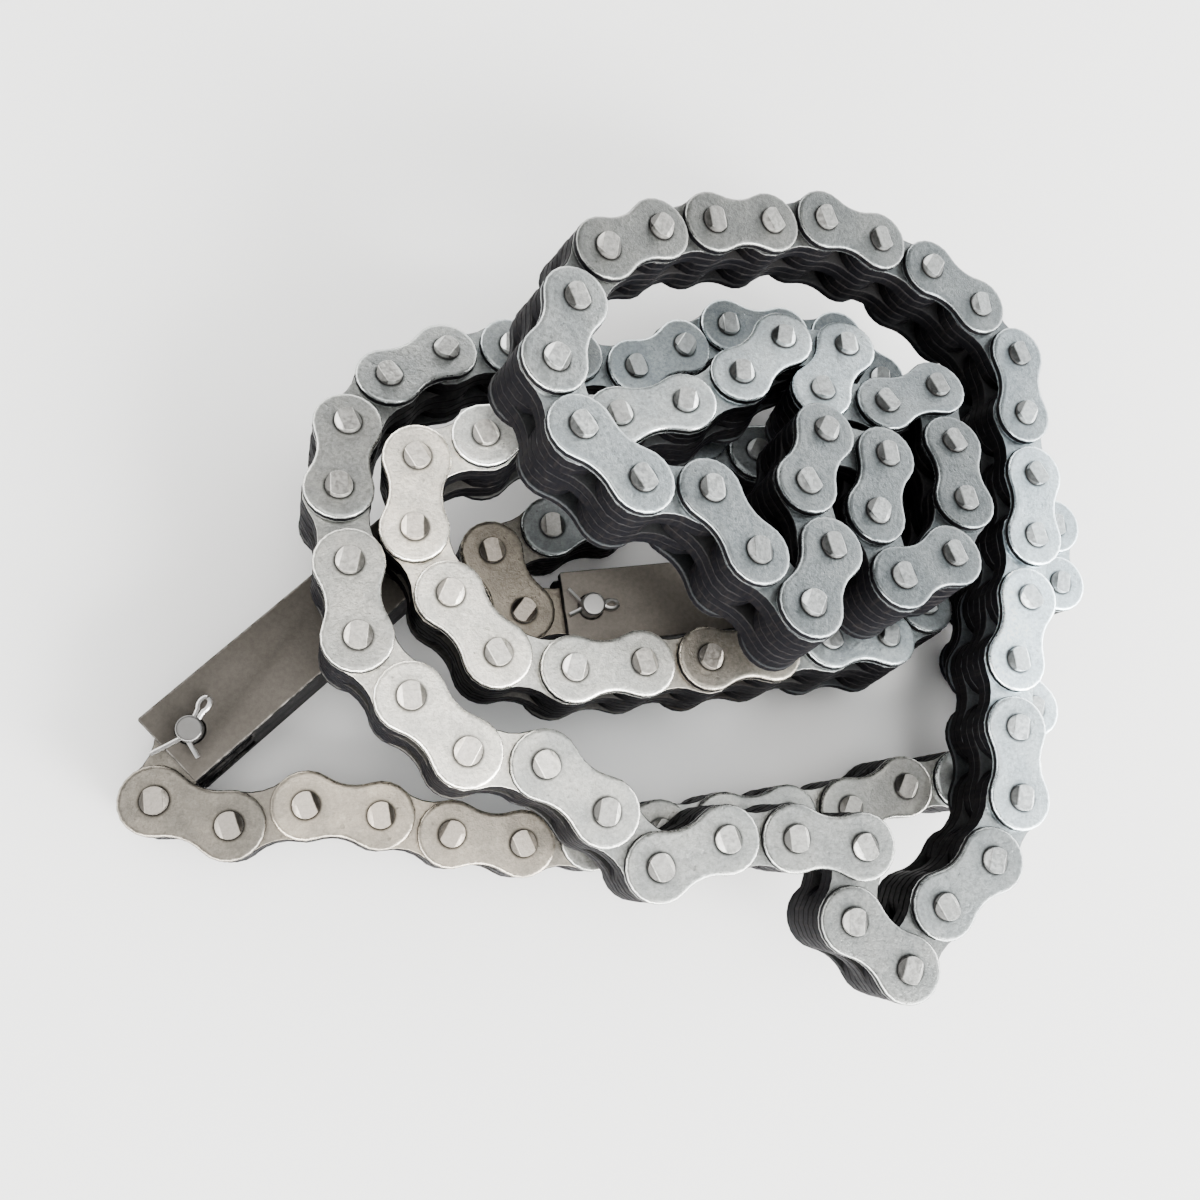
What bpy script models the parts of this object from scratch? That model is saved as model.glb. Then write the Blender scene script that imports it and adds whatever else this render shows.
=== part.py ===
"""A heap of steel leaf chain with an anchor block pinned to each end.

The chain lies on its side, so its pins stand upright and its plates lie flat. It is walked
link by link from anchor block A to anchor block B. Four links share one solid, and the
solids are hinged on the pin between them with a small gap all round.
"""

import math

import bmesh
import bpy
from mathutils import Matrix, Vector

mm = 0.001

# the chain, a 5/8 inch pitch leaf chain with 4 by 4 lacing
pitch = 15.875 * mm
plate = 2.5 * mm
stack_half = 4 * plate
pin_half = 11.4 * mm
end_radius = 7.7 * mm
waist_half = 5.7 * mm
shaft_radius = 3.2 * mm
head_radius = 3.1 * mm
gap = 0.3 * mm
hole_radius = 4.1 * mm

# the anchor blocks and what holds them
block_length = 70 * mm
block_width = 18 * mm
block_height = 22 * mm
pin_from_end = 6.3 * mm
slot_depth = 14.7 * mm
anchor_radius = 2.8 * mm
anchor_bore = 3.2 * mm
anchor_proud = 3.2 * mm
wire = 1.2 * mm

# Where the chain starts, and how it lies. Each row is four links: how far the chain turns
# at each of their hinges, in degrees to the left, and then how the heap slopes under the
# last of those hinges, in hundredths of a rise along X and along Y.
start = Vector((-29 * mm, 28 * mm, pin_half))
lay = [
    # along the front, on the floor
    ((-112, 94, 34, -23), (0, 0)),
    ((-7, 7, 12, 0), (0, 0)),
    ((2, 0, 0, 13), (0, 0)),
    # to the right end and back in a hairpin
    ((-13, 7, 53, 49), (0, 0)),
    ((-37, -65, 75, 78), (0, 0)),
    ((-39, 9, 3, -3), (-1, 0)),
    # along the back, and up
    ((46, -2, 30, 1), (-16, -2)),
    ((-32, 4, 15, 17), (-7, -24)),
    # the outer ring at the left, over block A and over the front run
    ((22, 28, 16, -3), (-2, -7)),
    ((34, 4, 37, -30), (-5, 0)),
    ((-7, 64, -19, -8), (0, 4)),
    # the sharp corner at the lower right
    ((-95, 62, 92, -15), (2, 1)),
    # the upper ring, up the right side and over the back
    ((22, 28, -3, -12), (-1, 0)),
    ((6, 5, 13, -6), (-10, 0)),
    ((41, 19, 13, 9), (-16, 3)),
    ((24, -3, 9, 11), (-25, -3)),
    ((30, 9, 39, 30), (-17, -13)),
    # the top of the heap, down to the middle
    ((37, -52, 9, 107), (-13, -21)),
    # the folds on top
    ((41, -39, -78, -95), (-13, -15)),
    ((35, 98, 39, 25), (-3, -22)),
    ((5, 109, -29, -115), (2, -21)),
    ((119, 46, -13, -15), (8, -12)),
    # the inner ring at the left
    ((-19, 31, -7, 69), (2, -2)),
    ((28, 12, 40, 18), (-10, -8)),
    # down to the floor again, and back under the folds
    ((-2, 5, 0, -5), (-9, -20)),
    ((30, 46, 2, 62), (6, -18)),
    ((5, 54, -43, 59), (0, 0)),
    ((5, -26, 7, 92), (0, 0)),
    # the last link, into block B
    ((67,), (0, 0)),
]
block_a_turn = 45
block_b_turn = 9


def clear_scene():
    for thing in list(bpy.data.objects):
        bpy.data.objects.remove(thing, do_unlink=True)


def steel(name, colour, metallic, roughness):
    mat = bpy.data.materials.new(name)
    mat.use_nodes = True
    shader = mat.node_tree.nodes["Principled BSDF"]
    shader.inputs["Base Color"].default_value = (*colour, 1.0)
    shader.inputs["Metallic"].default_value = metallic
    shader.inputs["Roughness"].default_value = roughness
    return mat


def ring(radius, sides, first=0.0):
    """A regular outline, with its first corner at the given angle in degrees."""
    points = []
    for i in range(sides):
        a = math.radians(first + 360.0 * i / sides)
        points.append((radius * math.cos(a), radius * math.sin(a)))
    return points


def plate_outline(corners=(-75, -25, 25, 75)):
    """A link plate from above: two round ends a pitch apart and a narrower waist."""
    end = [(end_radius * math.cos(math.radians(a)), end_radius * math.sin(math.radians(a))) for a in corners]
    points = [(pitch + x, y) for x, y in end]
    points.append((pitch / 2, waist_half))
    points += [(-x, -y) for x, y in end]
    points.append((pitch / 2, -waist_half))
    return points


def prism(bm, outline, low, high, frame):
    """Adds an upright solid with that outline, from low to high, in that frame."""
    bottom = [bm.verts.new(frame @ Vector((x, y, low))) for x, y in outline]
    base = bm.faces.new(reversed(bottom))
    made = bmesh.ops.extrude_face_region(bm, geom=[base], use_keep_orig=True)
    top = [v for v in made["geom"] if isinstance(v, bmesh.types.BMVert)]
    lift = frame.to_3x3() @ Vector((0, 0, high - low))
    bmesh.ops.translate(bm, vec=lift, verts=top)


def finish_mesh(bm, name):
    bmesh.ops.recalc_face_normals(bm, faces=bm.faces)
    mesh = bpy.data.meshes.new(name)
    bm.to_mesh(mesh)
    bm.free()
    mesh.shade_smooth()
    mesh.set_sharp_from_angle(angle=math.radians(20))
    return mesh


def solid(name, bm, place, mat):
    thing = bpy.data.objects.new(name, finish_mesh(bm, name))
    bpy.context.collection.objects.link(thing)
    thing.location = place
    thing.data.materials.append(mat)
    return thing


def tool(owner, name, bm, action):
    """A hidden shape that is joined to its owner or cut out of it."""
    shape = bpy.data.objects.new(name, finish_mesh(bm, name))
    bpy.context.collection.objects.link(shape)
    shape.parent = owner
    shape.hide_render = True
    shape.display_type = "WIRE"
    cut = owner.modifiers.new(name, "BOOLEAN")
    cut.operation = action
    cut.solver = "EXACT"
    cut.object = shape


def walk():
    """Where every hinge is, and each link's heading and slope."""
    slopes = [Vector((0, 0))] + [Vector((x / 100, y / 100)) for turns, (x, y) in lay[:-1]]
    hinges = [start.copy()]
    links = []
    heading = 0
    for row, (turns, last) in enumerate(lay):
        before = slopes[row]
        after = slopes[min(row + 1, len(slopes) - 1)]
        for i, turn in enumerate(turns):
            heading += turn
            # the first link of a row lies in the plane of the link before it
            slope = before.lerp(after, i / 3)
            a = math.radians(heading)
            flat = Vector((math.cos(a), math.sin(a)))
            along = Vector((flat.x, flat.y, slope.dot(flat))).normalized()
            up = Vector((-slope.x, -slope.y, 1)).normalized()
            links.append((along, up))
            hinges.append(hinges[-1] + along * pitch)
    return hinges, links


def link_frame(hinge, link, origin):
    """The link's own frame: X along it, Z along its pins, and the first pin at its origin."""
    along, up = link
    side = up.cross(along)
    frame = Matrix((along, side, up)).transposed().to_4x4()
    frame.translation = hinge - origin
    return frame


def outer_plates(bm, frame):
    outline = plate_outline()
    prism(bm, outline, -stack_half, -stack_half + plate, frame)
    prism(bm, outline, stack_half - plate, stack_half, frame)


def middle_plates(bm, frame):
    """The outer link's two middle plates, which lie between the two inner pairs."""
    prism(bm, plate_outline((-60, 0, 60)), -plate, plate, frame)


def inner_plates(bm, frame):
    """The inner link's two pairs of plates, with a gap to the outer link's plates."""
    prism(bm, plate_outline(), -3 * plate + gap, -plate - gap, frame)
    prism(bm, plate_outline(), plate + gap, 3 * plate - gap, frame)


def shaft(bm, frame, x, sides):
    shifted = frame @ Matrix.Translation((x, 0, 0))
    prism(bm, ring(shaft_radius, sides, 45), -stack_half + plate / 2, stack_half - plate / 2, shifted)


def heads(bm, frame, x):
    shifted = frame @ Matrix.Translation((x, 0, 0))
    prism(bm, ring(head_radius, 4), -pin_half, -stack_half + plate / 2, shifted)
    prism(bm, ring(head_radius, 6), stack_half - plate / 2, pin_half, shifted)


def chain_solid(number, hinges, links, mat):
    """Four links in one solid: inner, outer, inner, outer.

    The first link turns on the pin of the solid before it, and has a hole for it. The pins of
    the second and the fourth hold the four links together.
    """
    first = 4 * number
    origin = hinges[first]
    frames = [link_frame(hinges[i], links[i], origin) for i in range(first, first + 4)]
    last = number == 27
    if last:
        frames.append(link_frame(hinges[first + 4], links[first + 4], origin))
    outer = bmesh.new()
    outer_plates(outer, frames[1])
    outer_plates(outer, frames[3])
    thing = solid(f"chain_{number + 1:02d}", outer, origin, mat)

    inner = bmesh.new()
    inner_plates(inner, frames[0])
    inner_plates(inner, frames[2])
    if last:
        inner_plates(inner, frames[4])
    tool(thing, f"inner_plates_{number + 1:02d}", inner, "UNION")

    middle = bmesh.new()
    middle_plates(middle, frames[1])
    middle_plates(middle, frames[3])
    tool(thing, f"middle_plates_{number + 1:02d}", middle, "UNION")

    pins = bmesh.new()
    ends = bmesh.new()
    for frame, x, sides in ((1, 0, 4), (1, pitch, 3), (3, 0, 3), (3, pitch, 4)):
        shaft(pins, frames[frame], x, sides)
        heads(ends, frames[frame], x)
    tool(thing, f"pins_{number + 1:02d}", pins, "UNION")
    tool(thing, f"heads_{number + 1:02d}", ends, "UNION")

    holes = bmesh.new()
    prism(holes, ring(hole_radius, 6), -stack_half, stack_half, frames[0])
    if last:
        end = frames[4] @ Matrix.Translation((pitch, 0, 0))
        prism(holes, ring(hole_radius, 6), -stack_half, stack_half, end)
    tool(thing, f"holes_{number + 1:02d}", holes, "DIFFERENCE")
    return thing


def anchor(letter, hinge, turn, eye_turn, leg_turns, dark, bright):
    """A block with two slots in its end, its pin, and the cotter through the pin.

    The block lies on the floor like the pin heads do, and its slots are level with the chain.
    """
    top = block_height - pin_half
    block = bmesh.new()
    x = -pin_from_end
    y = block_width / 2
    ease = 0.8 * mm
    outline = [
        (x, -y + ease), (x + ease, -y), (x + block_length - ease, -y), (x + block_length, -y + ease),
        (x + block_length, y - ease), (x + block_length - ease, y), (x + ease, y), (x, y - ease),
    ]
    prism(block, outline, -pin_half, top, Matrix.Identity(4))
    body = solid(f"anchor_block_{letter}", block, hinge, dark)

    slots = bmesh.new()
    slack = 0.1 * mm
    cut = [(x - mm, -y - mm), (x + slot_depth, -y - mm), (x + slot_depth, y + mm), (x - mm, y + mm)]
    prism(slots, cut, -3 * plate - slack, -plate + slack, Matrix.Identity(4))
    prism(slots, cut, plate - slack, 3 * plate + slack, Matrix.Identity(4))
    tool(body, f"slots_{letter}", slots, "DIFFERENCE")
    bore = bmesh.new()
    prism(bore, ring(anchor_bore, 8), -pin_half - mm, top + mm, Matrix.Identity(4))
    tool(body, f"bore_{letter}", bore, "DIFFERENCE")
    body.rotation_euler = (0, 0, math.radians(turn))

    pin = bmesh.new()
    prism(pin, ring(anchor_radius, 8), -pin_half, top + anchor_proud, Matrix.Identity(4))
    pin_thing = solid(f"anchor_pin_{letter}", pin, hinge, bright)
    pin_thing.rotation_euler = (0, 0, math.radians(turn))

    # the cotter lies through the proud end, with its eye out on one side
    middle = top + gap + wire / 2
    along = Matrix.Translation((0, 0, middle)) @ Matrix.Rotation(math.radians(eye_turn), 4, "Z")
    shank = bmesh.new()
    half = wire / 2
    reach = anchor_radius + 0.9 * mm
    prism(shank, [(-reach, -half), (reach, -half), (reach, half), (-reach, half)], -half, half, along)
    cotter = solid(f"cotter_{letter}", shank, hinge, bright)

    eye = bmesh.new()
    eye_frame = along @ Matrix.Translation((reach + 1.6 * mm, 0, 0))
    prism(eye, ring(2.1 * mm, 10), -half + 0.05 * mm, half - 0.05 * mm, eye_frame)
    tool(cotter, f"eye_{letter}", eye, "UNION")
    opening = bmesh.new()
    prism(opening, ring(1.0 * mm, 8), -wire, wire, eye_frame)
    tool(cotter, f"eye_opening_{letter}", opening, "DIFFERENCE")

    legs = bmesh.new()
    for (leg_turn, length), side in zip(leg_turns, (1, -1)):
        root = along @ Matrix.Translation((-reach + half, 0, 0))
        spot = Matrix.Translation(root.translation) @ Matrix.Rotation(math.radians(leg_turn), 4, "Z")
        low = -half + 0.1 * mm if side > 0 else -half + 0.2 * mm
        prism(legs, [(-half, -half), (length, -half), (length, half), (-half, half)], low, -low, spot)
        tool(cotter, f"leg_{letter}_{'long' if side > 0 else 'short'}", legs, "UNION")
        legs = bmesh.new()
    legs.free()

    # the pin's cross hole, with room for the shank
    cross = bmesh.new()
    room = half + gap
    far = anchor_radius + mm
    outline = [(-far, -room), (far, -room), (far, room), (-far, room)]
    prism(cross, outline, -half - gap, half + gap, Matrix.Rotation(math.radians(-turn), 4, "Z") @ along)
    tool(pin_thing, f"cross_hole_{letter}", cross, "DIFFERENCE")
    return [body, pin_thing, cotter]


def centre_on_origin(things):
    """Moves the heap so that it stands on Z zero, centred on the origin."""
    bpy.context.view_layer.update()
    graph = bpy.context.evaluated_depsgraph_get()
    corners = []
    for thing in things:
        shown = thing.evaluated_get(graph)
        mesh = shown.to_mesh()
        corners += [shown.matrix_world @ v.co for v in mesh.vertices]
        shown.to_mesh_clear()
    low = Vector([min(c[i] for c in corners) for i in range(3)])
    high = Vector([max(c[i] for c in corners) for i in range(3)])
    middle = (low + high) / 2
    for thing in things:
        thing.location -= Vector((middle.x, middle.y, low.z))


def main():
    clear_scene()
    plate_steel = steel("plate_steel", (0.42, 0.43, 0.44), 0.9, 0.42)
    block_steel = steel("block_steel", (0.10, 0.095, 0.09), 0.6, 0.6)
    bright_steel = steel("bright_steel", (0.62, 0.63, 0.64), 1.0, 0.3)
    hinges, links = walk()
    things = []
    for number in range(28):
        things.append(chain_solid(number, hinges, links, plate_steel))
    things += anchor("a", hinges[0], block_a_turn, 66, ((211, 6.5 * mm), (303, 4 * mm)), block_steel, bright_steel)
    things += anchor("b", hinges[-1], block_b_turn, 7, ((136, 4.5 * mm), (208, 4 * mm)), block_steel, bright_steel)
    centre_on_origin(things)


main()
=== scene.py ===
import math
import random

import bmesh
import bpy
from mathutils import Matrix, Vector


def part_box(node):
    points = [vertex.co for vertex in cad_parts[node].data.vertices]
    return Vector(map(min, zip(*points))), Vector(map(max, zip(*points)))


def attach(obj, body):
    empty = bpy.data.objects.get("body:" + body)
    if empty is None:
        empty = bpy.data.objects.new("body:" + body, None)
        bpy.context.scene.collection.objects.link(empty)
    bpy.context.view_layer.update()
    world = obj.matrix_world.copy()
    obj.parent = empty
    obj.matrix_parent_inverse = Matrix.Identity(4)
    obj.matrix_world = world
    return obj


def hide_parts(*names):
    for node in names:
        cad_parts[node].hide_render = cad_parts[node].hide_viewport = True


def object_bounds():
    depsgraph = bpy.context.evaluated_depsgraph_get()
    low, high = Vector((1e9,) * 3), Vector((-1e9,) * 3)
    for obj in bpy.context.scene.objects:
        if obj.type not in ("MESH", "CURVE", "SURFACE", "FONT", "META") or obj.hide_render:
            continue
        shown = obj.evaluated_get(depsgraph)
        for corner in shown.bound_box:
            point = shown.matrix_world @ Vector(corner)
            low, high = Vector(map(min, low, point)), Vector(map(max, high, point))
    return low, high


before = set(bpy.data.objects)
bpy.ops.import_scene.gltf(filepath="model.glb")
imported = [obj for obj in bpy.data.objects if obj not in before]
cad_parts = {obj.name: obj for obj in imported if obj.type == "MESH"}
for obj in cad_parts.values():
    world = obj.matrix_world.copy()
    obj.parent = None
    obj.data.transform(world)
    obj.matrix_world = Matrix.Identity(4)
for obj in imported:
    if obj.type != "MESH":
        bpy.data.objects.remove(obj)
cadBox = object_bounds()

mm = 0.001

# sizes of the leaf chain, 5/8 inch pitch with 4 by 4 lacing
chain = {
    "pitch": 15.875 * mm,
    "level": 2.5 * mm,        # from one plate of the stack to the next
    "plateThick": 2.42 * mm,
    "endRadius": 7.43 * mm,
    "waistHalf": 5.6 * mm,
    "pinRadius": 2.88 * mm,
    "pinHalf": 11.4 * mm,     # from the middle of the stack to the top of a pin
    "play": 0.03 * mm,        # how far a plate may sit off its place
    "yaw": 0.15,              # and how far it may turn, in degrees
    "seed": 5,
}

# How the chain lies, as in the CAD: four links a row, the turn at each of their hinges in
# degrees to the left, then the slope under the last hinge in hundredths along X and along Y.
lay = [
    ((-112, 94, 34, -23), (0, 0)),
    ((-7, 7, 12, 0), (0, 0)),
    ((2, 0, 0, 13), (0, 0)),
    ((-13, 7, 53, 49), (0, 0)),
    ((-37, -65, 75, 78), (0, 0)),
    ((-39, 9, 3, -3), (-1, 0)),
    ((46, -2, 30, 1), (-16, -2)),
    ((-32, 4, 15, 17), (-7, -24)),
    ((22, 28, 16, -3), (-2, -7)),
    ((34, 4, 37, -30), (-5, 0)),
    ((-7, 64, -19, -8), (0, 4)),
    ((-95, 62, 92, -15), (2, 1)),
    ((22, 28, -3, -12), (-1, 0)),
    ((6, 5, 13, -6), (-10, 0)),
    ((41, 19, 13, 9), (-16, 3)),
    ((24, -3, 9, 11), (-25, -3)),
    ((30, 9, 39, 30), (-17, -13)),
    ((37, -52, 9, 107), (-13, -21)),
    ((41, -39, -78, -95), (-13, -15)),
    ((35, 98, 39, 25), (-3, -22)),
    ((5, 109, -29, -115), (2, -21)),
    ((119, 46, -13, -15), (8, -12)),
    ((-19, 31, -7, 69), (2, -2)),
    ((28, 12, 40, 18), (-10, -8)),
    ((-2, 5, 0, -5), (-9, -20)),
    ((30, 46, 2, 62), (6, -18)),
    ((5, 54, -43, 59), (0, 0)),
    ((5, -26, 7, 92), (0, 0)),
    ((67,), (0, 0)),
]


def feed(tree, socket, value):
    if isinstance(value, Wire):
        tree.links.new(value.socket, socket)
    else:
        socket.default_value = value


class Wire:
    # an output socket that can be added, multiplied and so on

    def __init__(self, tree, socket):
        self.tree = tree
        self.socket = socket

    def maths(self, action, first, second):
        node = self.tree.nodes.new("ShaderNodeMath")
        node.operation = action
        feed(self.tree, node.inputs[0], first)
        feed(self.tree, node.inputs[1], second)
        return Wire(self.tree, node.outputs[0])

    def __add__(self, other):
        return self.maths("ADD", self, other)

    def __radd__(self, other):
        return self.maths("ADD", other, self)

    def __sub__(self, other):
        return self.maths("SUBTRACT", self, other)

    def __rsub__(self, other):
        return self.maths("SUBTRACT", other, self)

    def __mul__(self, other):
        return self.maths("MULTIPLY", self, other)

    def __rmul__(self, other):
        return self.maths("MULTIPLY", other, self)

    def __pow__(self, other):
        return self.maths("POWER", self, other)

    def __abs__(self):
        return self.maths("ABSOLUTE", self, 0.0)


class Bench:
    # a node tree being built

    def __init__(self, tree):
        self.tree = tree

    def add(self, kind, settings=None, values=None, out=0):
        node = self.tree.nodes.new(kind)
        for name, value in (settings or {}).items():
            setattr(node, name, value)
        for name, value in (values or {}).items():
            feed(self.tree, node.inputs[name], value)
        if isinstance(out, tuple):
            return [Wire(self.tree, node.outputs[name]) for name in out]
        return Wire(self.tree, node.outputs[out])

    def mask(self, value, low, high):
        # 0 up to low, 1 from high on
        return self.add("ShaderNodeMapRange", {"interpolation_type": "SMOOTHSTEP"},
                        {"Value": value, "From Min": low, "From Max": high})

    def blend(self, factor, a, b, how="MIX"):
        return self.add("ShaderNodeMix", {"data_type": "RGBA", "blend_type": how},
                        {0: factor, 6: a, 7: b}, out=2)

    def noise(self, where, scale, detail, rough):
        return self.add("ShaderNodeTexNoise", {"noise_dimensions": "3D"},
                        {"Vector": where, "Scale": scale, "Detail": detail, "Roughness": rough})

    def grey(self, value):
        return self.add("ShaderNodeCombineColor", None, {0: value, 1: value, 2: value})


def newFinish(name, metallic=1.0, roughness=0.4, specular=0.5):
    finish = bpy.data.materials.new(name)
    finish.use_nodes = True
    shader = finish.node_tree.nodes["Principled BSDF"]
    shader.inputs["Metallic"].default_value = metallic
    shader.inputs["Roughness"].default_value = roughness
    shader.inputs["Specular IOR Level"].default_value = specular
    return finish, shader, Bench(finish.node_tree)


def walkChain(start):
    # gives the place of every hinge, and for every link the way it runs and its up
    slopes = [Vector((0, 0))] + [Vector((x / 100, y / 100)) for turns, (x, y) in lay[:-1]]
    hinges, links, heading = [start.copy()], [], 0
    for row, (turns, last) in enumerate(lay):
        before, after = slopes[row], slopes[min(row + 1, len(slopes) - 1)]
        for i, turn in enumerate(turns):
            heading += turn
            slope = before.lerp(after, i / max(1, len(turns) - 1))
            a = math.radians(heading)
            flat = Vector((math.cos(a), math.sin(a)))
            along = Vector((flat.x, flat.y, slope.dot(flat))).normalized()
            up = Vector((-slope.x, -slope.y, 1)).normalized()
            links.append((along, up))
            hinges.append(hinges[-1] + along * chain["pitch"])
    return hinges, links


def linkTurn(link, extra=0.0):
    # the angles of a piece that lies along a link, turned by extra about the link's up
    along, up = link
    side = up.cross(along)
    turned = Matrix((along, side, up)).transposed() @ Matrix.Rotation(extra, 3, "Z")
    return Vector(turned.to_euler())


def between(stops, place):
    # reads a short list of (place, values) with straight lines between
    for (a, low), (b, high) in zip(stops, stops[1:]):
        if place <= b:
            t = max(0.0, (place - a) / (b - a))
            return [p + (q - p) * t for p, q in zip(low, high)]
    return list(stops[-1][1])


# tone along the chain, by hinge number: how light the steel is, and how warm; partly the steel's own
# patina and partly painted light and shade, set run by run to match how the light falls, with painted
# shade under the overhanging turn near hinge 97.5
toneAndPaintedLight = [
    (2, (0.36, 0.85)), (4, (0.85, 1.00)), (6, (0.65, 0.90)), (8, (0.90, 0.40)),
    (12, (0.80, 0.55)), (16, (2.10, 0.00)), (20, (1.20, 0.00)), (23, (0.75, 0.05)),
    (28, (0.90, 0.15)), (33, (0.80, 0.45)), (36, (1.25, 0.60)), (38, (2.20, 0.70)),
    (40, (0.85, 0.45)), (46, (0.50, 0.40)), (48, (0.70, 0.25)), (51, (2.30, 0.00)),
    (54, (1.20, 0.05)), (56, (0.35, 0.10)), (61, (0.38, 0.45)), (64, (0.35, 0.45)),
    (67, (1.00, 0.20)), (70, (0.42, 0.20)), (81, (0.32, 0.15)), (84, (1.50, 0.10)),
    (88, (2.10, 0.30)), (92, (2.00, 0.85)), (95, (1.80, 0.50)), (97.5, (0.60, 0.85)),
    (99, (1.20, 0.20)), (101, (0.50, 0.20)), (106, (0.42, 0.20)), (109, (0.40, 0.00)),
    (111, (0.40, 1.00)),
]


def plateOutline(inset, endSteps, waistSteps):
    # two round ends with a hollow waist between them, all of it moved in by inset
    r = chain["endRadius"] - inset
    w = chain["waistHalf"] - inset
    half = chain["pitch"] / 2
    waistRadius = (half * half + w * w - r * r) / (2 * (r - w))
    meet = math.atan2(w + waistRadius, half)    # where the round end passes into the waist
    points = []
    for i in range(endSteps + 1):
        a = (math.pi - meet) * (2 * i / endSteps - 1)
        points.append((half + r * math.cos(a), r * math.sin(a)))
    for i in range(1, waistSteps):
        a = -meet - (math.pi - 2 * meet) * i / waistSteps
        points.append((waistRadius * math.cos(a), w + waistRadius + waistRadius * math.sin(a)))
    return points + [(-x, -y) for x, y in points]


def ringMesh(name, rings, crisp):
    # rings of the same number of points, from the lowest to the highest, closed at both ends;
    # crisp keeps the shading of each ring apart from the next
    bm = bmesh.new()
    loops = [[bm.verts.new(p) for p in ring] for ring in rings]
    count = len(loops[0])
    for low, high in zip(loops, loops[1:]):
        for i in range(count):
            j = (i + 1) % count
            bm.faces.new((low[i], low[j], high[j], high[i])).smooth = True
    bm.faces.new(reversed(loops[0])).smooth = False
    bm.faces.new(loops[-1]).smooth = False
    if crisp:
        for loop in loops:
            for a, b in zip(loop, loop[1:] + loop[:1]):
                bm.edges.get((a, b)).smooth = False
    mesh = bpy.data.meshes.new(name)
    bm.to_mesh(mesh)
    bm.free()
    return mesh


def markPlaces(mesh, name):
    # keeps each point's place on its own plate, in millimetres, for the finish to read
    kept = mesh.attributes.new(name, "FLOAT_VECTOR", "POINT")
    for vertex, value in zip(mesh.vertices, kept.data):
        value.vector = vertex.co / mm


plateHalf = chain["plateThick"] / 2 / mm

# Two kinds of plate, in millimetres. The profile goes from the under side to the top, as
# (how far in, how high). The steel is bright from brightTo up and dark below brightFrom, both
# counted down from the face; the near-black cut edge is partly the steel's own oxide and partly
# painted shade. rimShine is how strongly a painted highlight picks out the rim of the cut edge.
outerPlate = {
    "endSteps": 14,
    "waistSteps": 6,
    "profile": [(0.22, -plateHalf), (0.0, -plateHalf + 0.22), (0.0, plateHalf - 0.70),
                (0.09, plateHalf - 0.38), (0.30, plateHalf - 0.15), (0.64, plateHalf - 0.03),
                (1.0, plateHalf)],
    "crisp": False,
    "brightFrom": 0.75,
    "brightTo": 0.42,
    "rimShine": 0.0,
}

innerPlate = {
    "endSteps": 10,
    "waistSteps": 4,
    "profile": [(0.26, -plateHalf), (0.0, -plateHalf + 0.26), (0.0, plateHalf - 0.26),
                (0.26, plateHalf)],
    "crisp": True,
    "brightFrom": 0.10,
    "brightTo": 0.02,
    "rimShine": 0.5,
}


def plateMesh(name, shape):
    rings = []
    for inset, height in shape["profile"]:
        outline = plateOutline(inset * mm, shape["endSteps"], shape["waistSteps"])
        rings.append([(x, y, height * mm) for x, y in outline])
    mesh = ringMesh(name, rings, shape["crisp"])
    markPlaces(mesh, "onPlate")
    return mesh


pinHead = {
    "sides": 24,
    "flatHalf": 1.7 * mm,     # half the width of the level strip across the head
    "slopeDrop": 1.15 * mm,   # how far the two sides fall away from it
    "proud": 1.4 * mm,        # how far it stands out of the plate
    "ease": 0.14 * mm,
    "swing": 35,              # how far the strip may turn from the photo's upright, in degrees
}


def pinMesh():
    r, top, n = chain["pinRadius"], chain["pinHalf"], pinHead["sides"]
    bm = bmesh.new()
    bmesh.ops.create_cone(bm, cap_ends=True, segments=n, radius1=r, radius2=r, depth=2 * top,
                          matrix=Matrix.Rotation(math.pi / n, 4, "Z"))
    tilt = math.atan2(pinHead["slopeDrop"], r - pinHead["flatHalf"])
    for side in (1, -1):
        for end in (1, -1):
            normal = Vector((side * math.sin(tilt), 0, end * math.cos(tilt)))
            bmesh.ops.bisect_plane(bm, geom=bm.verts[:] + bm.edges[:] + bm.faces[:],
                                   plane_co=(side * pinHead["flatHalf"], 0, end * top),
                                   plane_no=normal, clear_outer=True, dist=1e-7)
            bmesh.ops.holes_fill(bm, edges=[e for e in bm.edges if e.is_boundary], sides=0)
    bmesh.ops.remove_doubles(bm, verts=bm.verts, dist=1e-6)
    bmesh.ops.recalc_face_normals(bm, faces=bm.faces)
    edges = []                # the edges of the head, where a face that looks up or down ends
    for edge in bm.edges:
        if len(edge.link_faces) == 2:
            a, b = edge.link_faces
            if max(abs(a.normal.z), abs(b.normal.z)) > 0.5 and a.normal.angle(b.normal) > 0.3:
                edges.append(edge)
    bmesh.ops.bevel(bm, geom=edges, offset=pinHead["ease"], segments=2, profile=0.6, affect="EDGES",
                    clamp_overlap=True)
    for face in bm.faces:
        face.smooth = abs(face.normal.z) < 0.8
    mesh = bpy.data.meshes.new("pin")
    bm.to_mesh(mesh)
    bm.free()
    markPlaces(mesh, "onPin")
    return mesh


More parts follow.
